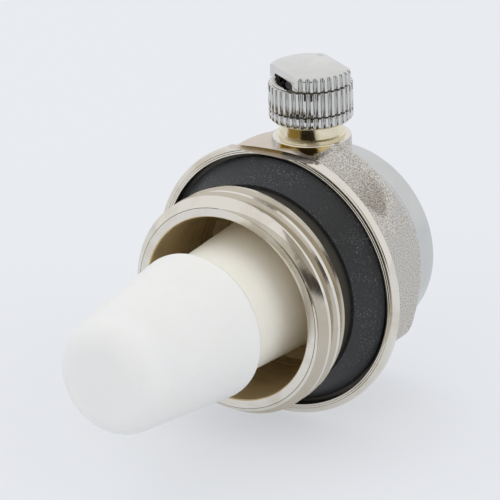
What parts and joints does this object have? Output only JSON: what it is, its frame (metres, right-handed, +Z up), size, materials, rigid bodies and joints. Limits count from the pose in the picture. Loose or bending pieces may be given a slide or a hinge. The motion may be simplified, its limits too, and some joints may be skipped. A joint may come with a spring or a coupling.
{
  "type": "air release valve",
  "caption": "Automatic radiator air vent: nickel-plated body with male pipe thread, conical rubber seal, hinged white float, and a knurled screw cap over the vent.",
  "frame": {"origin": "on the axis of the male thread, in the middle of the threaded length", "axes": "-Y out of the thread's mouth, +Z up along the vent's axis, +X to the right seen from the thread's mouth"},
  "size_m": [0.0414, 0.0622, 0.0503],
  "materials": {
    "nickel_cast": "nickel-plated brass casting, matt where cast and bright where turned",
    "nickel_turned": "nickel-plated turned brass, satin",
    "brass_neck": "turned brass, bright",
    "chrome_cap": "bright chrome on brass",
    "black_rubber": "moulded black rubber, dull",
    "white_float": "moulded polypropylene, milky and satin",
    "acetal": "machined acetal, satin",
    "stainless_sheet": "stamped stainless steel",
    "fibre": "pressed cellulose fibre"
  },
  "bodies": {
    "body": {"valve_body": "nickel_cast", "rear_cover": "nickel_turned", "cover_ring": "black_rubber", "port_gasket": "black_rubber", "vent_seat": "brass_neck", "vent_seat_ring": "black_rubber", "plug_cage": "brass_neck", "hinge_plate": "stainless_sheet", "pivot_pin": "stainless_sheet", "pin_clips": "stainless_sheet"},
    "float": {"float_nose": "white_float", "float_stem": "white_float", "float_lever": "stainless_sheet", "lever_bush": "acetal", "lever_rivets": "stainless_sheet"},
    "plug": {"plug_holder": "acetal", "valve_plug": "black_rubber"},
    "washer": {"cap_washer": "black_rubber"},
    "cap": {"vent_cap": "chrome_cap", "cap_discs": "fibre"}
  },
  "joints": [
    {"name": "float_hinge", "type": "hinge", "parent": "body", "child": "float", "pos_m": [0, 0.02531, 0.0036], "axis": [1, 0, 0], "range_deg": [0, 6]},
    {"name": "plug_slide", "type": "slide", "parent": "body", "child": "plug", "axis": [0, 0, -1], "range_m": [0, 0.0006]},
    {"name": "cap_lift", "type": "slide", "parent": "body", "child": "washer", "axis": [0, 0, 1], "range_m": [0, 0.00201]},
    {"name": "cap_turn", "type": "hinge", "parent": "washer", "child": "cap", "pos_m": [0, 0.01971, 0], "axis": [0, 0, 1], "range_deg": [0, 720]}
  ],
  "couplings": [
    {"joint": "plug_slide", "follows": "float_hinge", "m_per_rad": 0.0056},
    {"joint": "cap_lift", "follows": "cap_turn", "m_per_rad": 0.00015915}
  ]
}
